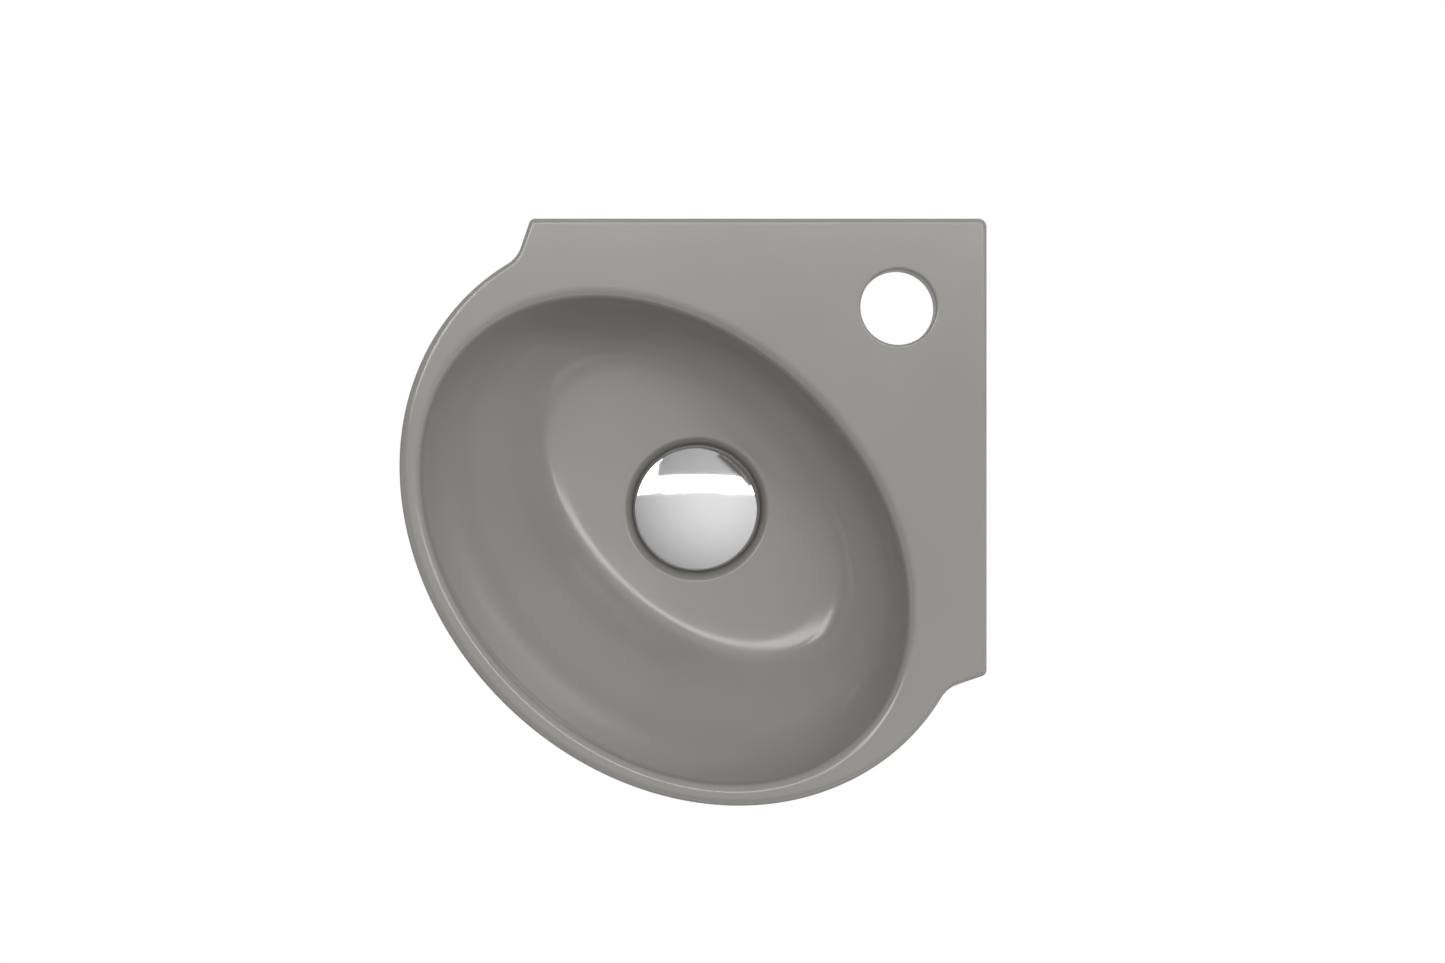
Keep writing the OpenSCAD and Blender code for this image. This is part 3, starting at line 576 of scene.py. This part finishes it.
glaze, shader, place = start_material("satin_glaze")
cloud_scale, smear_scale, pore_scale, pore_depth = 14.0, 40.0, 1400.0, 0.00008
clouds, pores = place.noise(cloud_scale), place.noise(pore_scale)
# The faces against the walls and the foot's underside are wiped bare before firing, and a
# ragged line of glaze creeps over the top of the walls' faces
glaze_creep, creep_soft, creep_ragged, creep_scale = 0.005, 0.001, 0.004, 60.0
wipe_soft = 0.00015
ragged_line = place.part("Z") + place.noise(creep_scale) * creep_ragged
on_wall = place.part("X").step(-2 * wipe_soft, -wipe_soft)
on_wall = on_wall.at_least(place.part("Y").step(-2 * wipe_soft, -wipe_soft))
on_wall = on_wall * (1.0 - ragged_line.step(-glaze_creep, creep_soft - glaze_creep))
under_foot = 1.0 - place.part("Z").step(wipe_soft - casting_h * mm, 2 * wipe_soft - casting_h * mm)
bare = on_wall.at_least(under_foot)
patches = clouds.step(0.3, 0.7)
glaze_colour = patches.mix(linear(172, 169, 165), linear(176, 173, 169))
bare_colour = patches.mix(linear(214, 206, 194), linear(204, 195, 182))
glaze_rough, smear_rough, bare_rough = 0.15, 0.04, 0.5
feed(shader, Base_Color=bare.mix(glaze_colour, bare_colour),
     Roughness=glaze_rough + smear_rough * place.noise(smear_scale) + bare_rough * bare,
     Normal=place.node("ShaderNodeBump", Strength=0.12, Distance=pore_depth, Height=pores))
basin = new_piece(bm, "ceramic_basin", glaze, None)

# The two fixing holes are bored through the back plates
fixing_cutters = []
for axis in ("X", "Y"):
    cutter_bm = bmesh.new()
    bmesh.ops.create_cone(cutter_bm, cap_ends=True, segments=fixing_n, radius1=fixing_hole_d / 2 * mm,
                          radius2=fixing_hole_d / 2 * mm, depth=3 * back_t * mm)
    turn = Matrix.Rotation(math.pi / 2, 3, "Y" if axis == "X" else "X")
    bmesh.ops.rotate(cutter_bm, cent=(0, 0, 0), matrix=turn, verts=cutter_bm.verts)
    away_x, away_y = (0, -fixing_from_corner) if axis == "X" else (-fixing_from_corner, 0)
    bmesh.ops.translate(cutter_bm, vec=Vector((away_x, away_y, -fixing_drop)) * mm,
                        verts=cutter_bm.verts)
    cutter = new_piece(cutter_bm, "cutter_" + axis, glaze, None)
    cut = basin.modifiers.new("fixing_" + axis, "BOOLEAN")
    cut.object = cutter
    fixing_cutters.append(cutter)
bpy.context.view_layer.update()
as_cut = basin.evaluated_get(bpy.context.evaluated_depsgraph_get())
cut_mesh = bpy.data.meshes.new_from_object(as_cut)
basin.modifiers.clear()
basin.data = cut_mesh
for cutter in fixing_cutters:
    bpy.data.objects.remove(cutter)
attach(basin, "basin_set")
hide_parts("basin")


# The flange seal
# A flat ring of black rubber between the waste's flange and the seat in the bowl. The
# back nut squeezes it when it pulls the waste down.
flange_d, flange_t, flange_seal_t, flange_seal_round = 62.0, 3.0, 2.0, 0.6
tail_d, clamp_gap = 41.91, 0.25
flange_z = seat_z + flange_seal_t
# Steps round a turned piece and over a rounding, which takes under half of either side
lathe_n, round_steps, round_limit = 128, 6, 2.1
axis_gap = 0.001


def rounded(corners):
    """A closed profile from corners of radius, height and rounding, in millimetres."""
    points = []
    for i, (r, z, rounding) in enumerate(corners):
        here = Vector((r, z))
        before = Vector(corners[i - 1][:2]) - here
        after = Vector(corners[(i + 1) % len(corners)][:2]) - here
        if not rounding:
            points.append(here)
            continue
        reach = min(rounding, before.length / round_limit, after.length / round_limit)
        first, last = here + before.normalized() * reach, here + after.normalized() * reach
        for j in range(round_steps + 1):
            t = j / round_steps
            points.append(mixed(mixed(first, here, t), mixed(here, last, t), t))
    return points


def lathed(profile, steps=lathe_n):
    """A closed profile of radii and heights, in millimetres, spun round the waste's axis."""
    bm = bmesh.new()
    ring = bmesh.ops.create_circle(bm, segments=len(profile), radius=1.0)["verts"]
    for vert, (r, z) in zip(ring, profile):
        vert.co = (r * mm, 0, z * mm)
    for edge in [e for e in bm.edges if max(v.co.x for v in e.verts) < axis_gap * mm]:
        bm.edges.remove(edge)
    bmesh.ops.spin(bm, geom=bm.verts[:] + bm.edges[:], cent=(0, 0, 0), axis=(0, 0, 1),
                   angle=math.tau, steps=steps, use_merge=True)
    bmesh.ops.translate(bm, vec=(drain_xy.x * mm, drain_xy.y * mm, 0), verts=bm.verts)
    return bm


def flat_ring(outer_r, inner_r, low, high, rounding):
    """A turned ring with its four edges rounded."""
    return lathed(rounded([(inner_r, low, rounding), (outer_r, low, rounding),
                           (outer_r, high, rounding), (inner_r, high, rounding)]))


rubber, shader, place = start_material("black_rubber")
bloom_scale, rubber_grain_scale, rubber_grain_depth = 120.0, 1500.0, 0.0001
bloom, rubber_grain = place.noise(bloom_scale, detail=3.0), place.noise(rubber_grain_scale)
feed(shader, Base_Color=bloom.step(0.35, 0.75).mix(linear(24, 24, 25), linear(38, 38, 38)),
     Roughness=0.55 + 0.2 * bloom,
     Normal=place.node("ShaderNodeBump", Strength=0.3, Distance=rubber_grain_depth, Height=rubber_grain))
tail_fit_r = tail_d / 2 + clamp_gap
new_piece(flat_ring((flange_d - flange_t) / 2, tail_fit_r, seat_z, flange_z, flange_seal_round),
          "flange_seal_ring", rubber, "basin_set", "flange_seal")

# The waste body
# Turned from brass and chrome plated: a flange in the seat, a threaded tail that takes the
# back nut and the trap, and a cast bridge inside that holds the cartridge.
mouth_d, mouth_lead, mouth_round, lead_round, flange_round = 46.0, 1.0, 0.9, 1.2, 1.4
tail_bore_d, tail_l, tail_chamfer = 36.0, 82.0, 1.0
under_seal_t, washer_t, nut_h = 5.0, 2.0, 11.0
groove_drop, groove_w, groove_depth = 3.0, 3.0, 0.8
# The thread, with its rows of points a turn, its steps round, and how near the tail's skin
# a point counts as on it
thread_pitch, thread_depth, thread_rows, thread_n, on_skin = 2.309, 1.2, 9, 112, 0.01
flange_top = flange_z + flange_t
under_z = -casting_h - under_seal_t
washer_z = under_z - washer_t
tail_z = flange_z - tail_l
tail_r, groove_r = tail_d / 2, tail_d / 2 - groove_depth
groove_top = washer_z - nut_h - groove_drop
groove_low = groove_top - groove_w
threads = [(tail_z + tail_chamfer, groove_low), (groove_top, flange_z - thread_pitch)]


def threaded(low, high):
    """Close rows up the tail for one stretch of thread, left out at its two ends."""
    n = round((high - low) / thread_pitch * thread_rows)
    return [Vector((tail_r, mixed(low, high, i / n))) for i in range(1, n)]


def corners_of(*corners):
    return [Vector(c) for c in corners]


waste_profile = corners_of((tail_bore_d / 2, tail_z), (tail_r - tail_chamfer, tail_z),
                           (tail_r, threads[0][0]))
waste_profile += threaded(*threads[0])
waste_profile += corners_of((tail_r, groove_low), (groove_r, groove_low), (groove_r, groove_top),
                            (tail_r, groove_top))
waste_profile += threaded(*threads[1])
flange_edge = rounded([
    (tail_r, flange_z, 0), (flange_d / 2, flange_z, flange_round), (flange_d / 2, flange_top, flange_round),
    (mouth_d / 2, flange_top, mouth_round), (tail_bore_d / 2, flange_z - mouth_lead, lead_round),
    (tail_bore_d / 2, tail_z, 0)])
waste_profile += corners_of((tail_r, threads[1][1])) + flange_edge[:-1]
bm = lathed(waste_profile, thread_n)
for vert in bm.verts:
    x, y, z = vert.co.x / mm - drain_xy.x, vert.co.y / mm - drain_xy.y, vert.co.z / mm
    if math.hypot(x, y) > tail_r - on_skin and z < threads[1][1]:
        low, high = threads[0] if z < groove_low + on_skin else threads[1]
        grown = eased(min(z - low, high - z) / thread_pitch)
        wave = 0.5 - 0.5 * math.cos(math.tau * z / thread_pitch - math.atan2(y, x))
        cut = 1 - thread_depth * grown * wave / math.hypot(x, y)
        vert.co = Vector((drain_xy.x + x * cut, drain_xy.y + y * cut, z)) * mm
waste_chrome, shader, place = start_material("turned_chrome")
lathe_round_scale, lathe_line_scale, lathe_depth, wiped_scale = 20.0, 2600.0, 0.00004, 90.0
lathe_lines = place.node("ShaderNodeMapping", Scale=(lathe_round_scale, lathe_round_scale, lathe_line_scale),
                         Vector=place).noise(scale=1.0)
feed(shader, Base_Color=(0.8, 0.8, 0.81, 1.0), Metallic=1.0,
     Roughness=0.1 + 0.12 * place.noise(wiped_scale),
     Normal=place.node("ShaderNodeBump", Strength=0.12, Distance=lathe_depth, Height=lathe_lines))
new_piece(bm, "waste_tail_and_flange", waste_chrome, "basin_set", "waste_body")

# The bridge is a ring on four arms, which stay a little lower than the ring
bridge_drop, bridge_h, bridge_arm_t, bridge_ring_t, sleeve_d, run_gap = 27.0, 12.0, 2.4, 3.0, 15.0, 0.08
bridge_arms, arm_clear, bridge_round, bridge_round_steps = 4, 0.1, 0.5, 3
bridge_top = flange_top - bridge_drop
bridge_z = bridge_top - bridge_h
sleeve_fit_r = sleeve_d / 2 + run_gap
ring_r = sleeve_fit_r + bridge_ring_t
arm_end = (tail_bore_d + (tail_d - tail_bore_d) / 2) / 2
bm = flat_ring(ring_r, sleeve_fit_r, bridge_z, bridge_top, bridge_round)
arm_start = ring_r - bridge_ring_t / 2
for arm in range(bridge_arms):
    made = bmesh.ops.create_cube(bm, size=1.0)["verts"]
    bmesh.ops.scale(bm, vec=Vector((arm_end - arm_start, bridge_arm_t, bridge_h - arm_clear)) * mm,
                    verts=made)
    edges = list({e for v in made for e in v.link_edges})
    made = bmesh.ops.bevel(bm, geom=edges, offset=bridge_round * mm, offset_type="OFFSET",
                           segments=bridge_round_steps, profile=0.5, affect="EDGES", material=-1)["verts"]
    turn = Matrix.Rotation(math.radians(45 + 360 / bridge_arms * arm), 4, "Z")
    bmesh.ops.translate(bm, vec=Vector(((arm_start + arm_end) / 2, 0, (bridge_z + bridge_top) / 2)) * mm,
                        verts=made)
    bmesh.ops.rotate(bm, cent=(0, 0, 0), matrix=turn, verts=made)
    bmesh.ops.translate(bm, vec=(drain_xy.x * mm, drain_xy.y * mm, 0), verts=made)
new_piece(bm, "waste_bridge", waste_chrome, "basin_set", "waste_body")

# The under seal and the slide washer
# A thick rubber ring that seals the casting's underside, and a slippery plastic washer
# that lets the nut turn without dragging the rubber round.
clamp_d, under_seal_round = 64.0, 1.2
# Roundings of the smaller pieces' edges
tiny_round, small_round, edge_round, soft_round = 0.2, 0.3, 0.4, 0.5
new_piece(flat_ring(clamp_d / 2, tail_fit_r, under_z, -casting_h, under_seal_round), "under_seal_ring",
          rubber, "basin_set", "under_seal")
flow_scale, flow_stretch, mould_grain_scale, mould_grain_depth = 160.0, 0.3, 1800.0, 0.00005


def plastic(name, colour, other, roughness, grain):
    """A moulded plastic: faint flow marks between two colours and a fine moulded grain."""
    material, shader, place = start_material(name)
    drawn = place.node("ShaderNodeMapping", Scale=(1.0, 1.0, flow_stretch), Vector=place)
    flow, pits = drawn.noise(flow_scale, detail=3.0), place.noise(mould_grain_scale)
    feed(shader, Base_Color=flow.step(0.3, 0.75).mix(colour, other), Roughness=roughness + 0.1 * flow,
         Normal=place.node("ShaderNodeBump", Strength=grain, Distance=mould_grain_depth, Height=pits))
    return material


washer_plastic = plastic("slide_washer_plastic", linear(228, 227, 220), linear(218, 217, 208),
                         roughness=0.35, grain=0.1)
new_piece(flat_ring(clamp_d / 2, tail_fit_r, washer_z, under_z, small_round), "slide_washer_ring",
          washer_plastic, "basin_set", "slide_washer")

# The back nut
# Hot-stamped brass, six-sided, with a round collar that presses on the slide washer. It
# screws up the tail and clamps the waste to the casting.
nut_af, nut_lead, nut_edge, nut_collar_t = 52.0, 0.9, 0.4, nut_h / 4
nut_chamfer_lean, nut_crease = 30, 20.0
nut_n = 120


def nut_ring(radius_at, height_at):
    """A ring round the waste's axis whose radius and height depend on the turn."""
    ring = []
    for i in range(nut_n):
        way, r = facing(360 * i / nut_n), radius_at(360 * i / nut_n)
        ring.append(Vector((drain_xy.x + r * way.x, drain_xy.y + r * way.y, height_at(r))) * mm)
    return ring


def nut(flats, bore_r, low, high, collar_r=0.0, collar_t=0.0):
    """A six-sided nut with its lower corners chamfered, and a collar on top where it has one."""
    rings = []

    def level(r, z):
        rings.append(nut_ring(lambda turn: r, lambda r: z))

    def six_sided(height_at):
        rings.append(nut_ring(lambda turn: flats / 2 / facing(turn % 60 - 30).x, height_at))

    level(bore_r, low + nut_lead)
    level(bore_r + nut_lead, low)
    level(flats / 2 - nut_edge, low)
    slope = math.tan(math.radians(nut_chamfer_lean))
    six_sided(lambda r: low + (r - flats / 2) * slope + nut_edge / 4)
    if collar_r:
        six_sided(lambda r: high - collar_t)
        level(collar_r - nut_edge, high - collar_t)
        level(collar_r, high - collar_t + nut_edge)
        level(collar_r, high - nut_edge)
        level(collar_r - nut_edge, high)
    else:
        six_sided(lambda r: high)
    level(bore_r + nut_lead, high)
    level(bore_r, high - nut_lead)
    level(bore_r, low + nut_lead)
    bm = bmesh.new()
    loft(bm, rings)
    return bm


brass, shader, place = start_material("stamped_brass")
tarnish_scale, pit_scale, pit_depth = 55.0, 700.0, 0.0001
tarnish, pits = place.noise(tarnish_scale, detail=5.0, roughness=0.6), place.noise(pit_scale, detail=3.0)
feed(shader, Base_Color=tarnish.step(0.4, 0.72).mix((0.68, 0.5, 0.2, 1.0), (0.42, 0.28, 0.11, 1.0)),
     Metallic=1.0, Roughness=0.24 + 0.3 * tarnish,
     Normal=place.node("ShaderNodeBump", Strength=0.25, Distance=pit_depth, Height=pits))
new_piece(nut(nut_af, tail_r + run_gap, washer_z - nut_h, washer_z, clamp_d / 2, nut_collar_t),
          "brass_back_nut", brass, "basin_set", "back_nut", nut_crease)

# The cartridge sleeve
# A tube moulded in off-white plastic, which hangs in the bridge by its flange. The spring
# stands on its floor, round the drain hole.
sleeve_bore_d, sleeve_floor_t, sleeve_flange_t, sleeve_flange_w = 12.6, 2.0, 2.4, 2.0
cap_gap, cap_seal_t, boss_drop, boss_gap = 0.3, 2.0, 6.0, 2.0
collar_h, plunger_foot_h, rotor_h, spring_h, cap_travel = 4.0, 3.0, 7.0, 15.0, 8.0
cap_z = flange_top + cap_gap
cap_floor = cap_z + cap_seal_t
boss_z = cap_floor - boss_drop
collar_top = boss_z - boss_gap
sleeve_top = collar_top - collar_h
foot_top = sleeve_top - cap_travel - run_gap
rotor_top = foot_top - plunger_foot_h
rotor_z = rotor_top - rotor_h
spring_z = rotor_z - spring_h
sleeve_z = spring_z - sleeve_floor_t
sleeve_r, bore_r = sleeve_d / 2, sleeve_bore_d / 2
sleeve_drain_r, flange_r = bore_r / 3, sleeve_r + sleeve_flange_w
sleeve_flange_top = bridge_top + sleeve_flange_t
off_white = plastic("sleeve_plastic", linear(226, 225, 218), linear(217, 215, 206),
                    roughness=0.3, grain=0.15)
sleeve_profile = rounded([
    (sleeve_drain_r, sleeve_z, tiny_round), (sleeve_r, sleeve_z, soft_round), (sleeve_r, bridge_top, 0),
    (flange_r, bridge_top, small_round), (flange_r, sleeve_flange_top, edge_round),
    (sleeve_r, sleeve_flange_top, small_round), (sleeve_r, sleeve_top, small_round),
    (bore_r, sleeve_top, tiny_round), (bore_r, spring_z, edge_round),
    (sleeve_drain_r, spring_z, tiny_round)])
new_piece(lathed(sleeve_profile), "moulded_sleeve", off_white, "basin_set", "cartridge_sleeve")

# The cartridge lock nut
# A small six-sided nut moulded in grey plastic. It screws up the sleeve and pulls its
# flange down on the bridge.
lock_nut_h, lock_nut_af = 5.0, 19.0
grey = plastic("lock_nut_plastic", linear(150, 150, 151), linear(140, 140, 142),
               roughness=0.35, grain=0.15)
new_piece(nut(lock_nut_af, sleeve_fit_r, bridge_z - lock_nut_h, bridge_z), "plastic_lock_nut", grey,
          "basin_set", "cartridge_lock_nut", nut_crease)

# The cartridge spring
# Drawn stainless wire, wound in six turns. It stands on the sleeve's floor and pushes the rotor up. It is
# drawn at one length, though the real one stretches between the sleeve and the cap as the cap rises.
wire_d, wire_n, spring_turns, coil_steps = 1.1, 12, 6, 40
coil_r = bore_r - wire_d
spring_rise = spring_h - wire_d - 2 * run_gap
spring_foot = spring_z + run_gap + wire_d / 2
bm = bmesh.new()
ring = bmesh.ops.create_circle(bm, segments=wire_n, radius=wire_d / 2 * mm)["verts"]
bmesh.ops.rotate(bm, cent=(0, 0, 0), matrix=Matrix.Rotation(math.pi / 2, 3, "X"), verts=ring)
bmesh.ops.translate(bm, vec=(coil_r * mm, 0, spring_foot * mm), verts=ring)
steps = coil_steps * spring_turns
bmesh.ops.spin(bm, geom=bm.verts[:] + bm.edges[:], cent=(0, 0, 0), axis=(0, 0, 1),
               dvec=(0, 0, spring_rise / steps * mm), angle=math.tau * spring_turns, steps=steps)
bmesh.ops.holes_fill(bm, edges=[e for e in bm.edges if e.is_boundary], sides=0)
bmesh.ops.translate(bm, vec=(drain_xy.x * mm, drain_xy.y * mm, 0), verts=bm.verts)
steel, shader, place = start_material("spring_wire")
drawn_scale = 300.0
feed(shader, Base_Color=(0.6, 0.6, 0.61, 1.0), Metallic=1.0,
     Roughness=0.25 + 0.15 * place.noise(drawn_scale))
spring = new_piece(bm, "wound_spring", steel, None, "cartridge_spring")
spring_z * mm
rotor_z * mm
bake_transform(spring)

# The cartridge rotor
# Moulded in blue plastic, with slanted lugs that step it round each time the cap is pushed.
# It turns on the spring, under the plunger's foot.
rotor_blue = plastic("rotor_plastic", linear(45, 96, 160), linear(38, 86, 148),
                     roughness=0.3, grain=0.12)
for material_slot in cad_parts["cartridge_rotor"].material_slots:
    material_slot.material = rotor_blue

# The cartridge plunger
# Moulded in pale grey plastic. Its foot slides in the sleeve on top of the rotor, and its
# stud screws into the cap.
plunger_d, stud_d, stud_h, plunger_n = 8.0, 6.0, 6.0, 96
plunger_grey = plastic("plunger_plastic", linear(216, 216, 213), linear(207, 207, 204),
                       roughness=0.3, grain=0.12)
foot_r = bore_r - run_gap
stud_r, stud_top = stud_d / 2, boss_z + stud_h
plunger_profile = rounded([
    (0, rotor_top, 0), (foot_r, rotor_top, small_round), (foot_r, foot_top, soft_round),
    (plunger_d / 2, foot_top, small_round), (plunger_d / 2, boss_z, small_round), (stud_r, boss_z, 0),
    (stud_r, stud_top, soft_round), (0, stud_top, 0)])
new_piece(lathed(plunger_profile, plunger_n), "moulded_plunger", plunger_grey, "cap",
          "cartridge_plunger")

# The cartridge collar
# Moulded in off-white plastic like the sleeve. It screws over the sleeve's top, keeps the
# plunger in and guides it.
collar_z, collar_round, guide_r = sleeve_top - collar_h, 0.9, plunger_d / 2 + run_gap
collar_profile = rounded([
    (sleeve_fit_r, collar_z, tiny_round), (flange_r, collar_z, edge_round),
    (flange_r, collar_top, collar_round), (guide_r, collar_top, edge_round),
    (guide_r, sleeve_top, 0), (sleeve_fit_r, sleeve_top, 0)])
new_piece(lathed(collar_profile), "screw_collar", off_white, "basin_set", "cartridge_collar")

# The cap
# A shallow dome pressed from brass, polished and chrome plated. It is pushed to close the
# waste and pushed again to open it.
cap_d, cap_t, cap_rise, cap_edge_h, cap_edge_r, cap_seal_w = 64.0, 2.2, 4.6, 2.4, 1.1, 5.0
cap_n, dome_rows, cap_edge_rows = 192, 48, 10
cap_r, seal_r = cap_d / 2, (mouth_d + cap_seal_w) / 2
dome_r = (cap_r ** 2 + cap_rise ** 2) / (2 * cap_rise)
dome_mid = cap_z + cap_edge_h + cap_rise - dome_r
round_x = cap_r - cap_edge_r
round_z = dome_mid + math.sqrt((dome_r - cap_edge_r) ** 2 - round_x ** 2)
touch = math.degrees(math.atan2(round_z - dome_mid, round_x))
land_r, boss_r = seal_r - cap_seal_w - cap_t, stud_r + cap_t


def under_dome(r):
    return dome_mid + math.sqrt(dome_r ** 2 - r ** 2) - cap_t


cap_profile = [Vector((0, dome_mid)) + dome_r * facing(mixed(90, touch, i / dome_rows))
               for i in range(dome_rows)]
cap_profile[0].x = 0.0
cap_profile += [Vector((round_x, round_z)) + cap_edge_r * facing(touch * (1 - i / cap_edge_rows))
                for i in range(cap_edge_rows + 1)]
stud_hole_r, stud_hole_top = stud_r + run_gap, stud_top + run_gap
cap_profile += rounded([
    (cap_r, round_z, 0), (cap_r, cap_z, edge_round), (cap_r - cap_t, cap_z, edge_round),
    (cap_r - cap_t, cap_floor, soft_round), (land_r, cap_floor, edge_round),
    (land_r, under_dome(land_r), soft_round), (boss_r, under_dome(boss_r), soft_round),
    (boss_r, boss_z, edge_round), (stud_hole_r, boss_z, 0), (stud_hole_r, stud_hole_top, 0),
    (0, stud_hole_top, 0)])[1:]
cap_chrome, shader, place = start_material("polished_chrome")
handling_scale = 70.0
handling = place.noise(handling_scale, detail=3.0)
feed(shader, Base_Color=(0.86, 0.86, 0.87, 1.0), Metallic=1.0, Roughness=0.03 + 0.05 * handling)
new_piece(lathed(cap_profile, cap_n), "domed_cap", cap_chrome, "cap", "waste_cap")

# The cap seal
# A soft black rubber ring, pressed up under the cap. It closes on the flange round its
# mouth.
cap_seal_round, seal_hole_r = 0.8, seal_r - cap_seal_w
cap_seal_profile = rounded([
    (seal_hole_r, cap_z, cap_seal_round), (seal_r, cap_z, cap_seal_round),
    (seal_r, cap_floor, small_round), (seal_hole_r, cap_floor, small_round)])
new_piece(lathed(cap_seal_profile), "cap_seal_ring", rubber, "cap", "cap_seal")
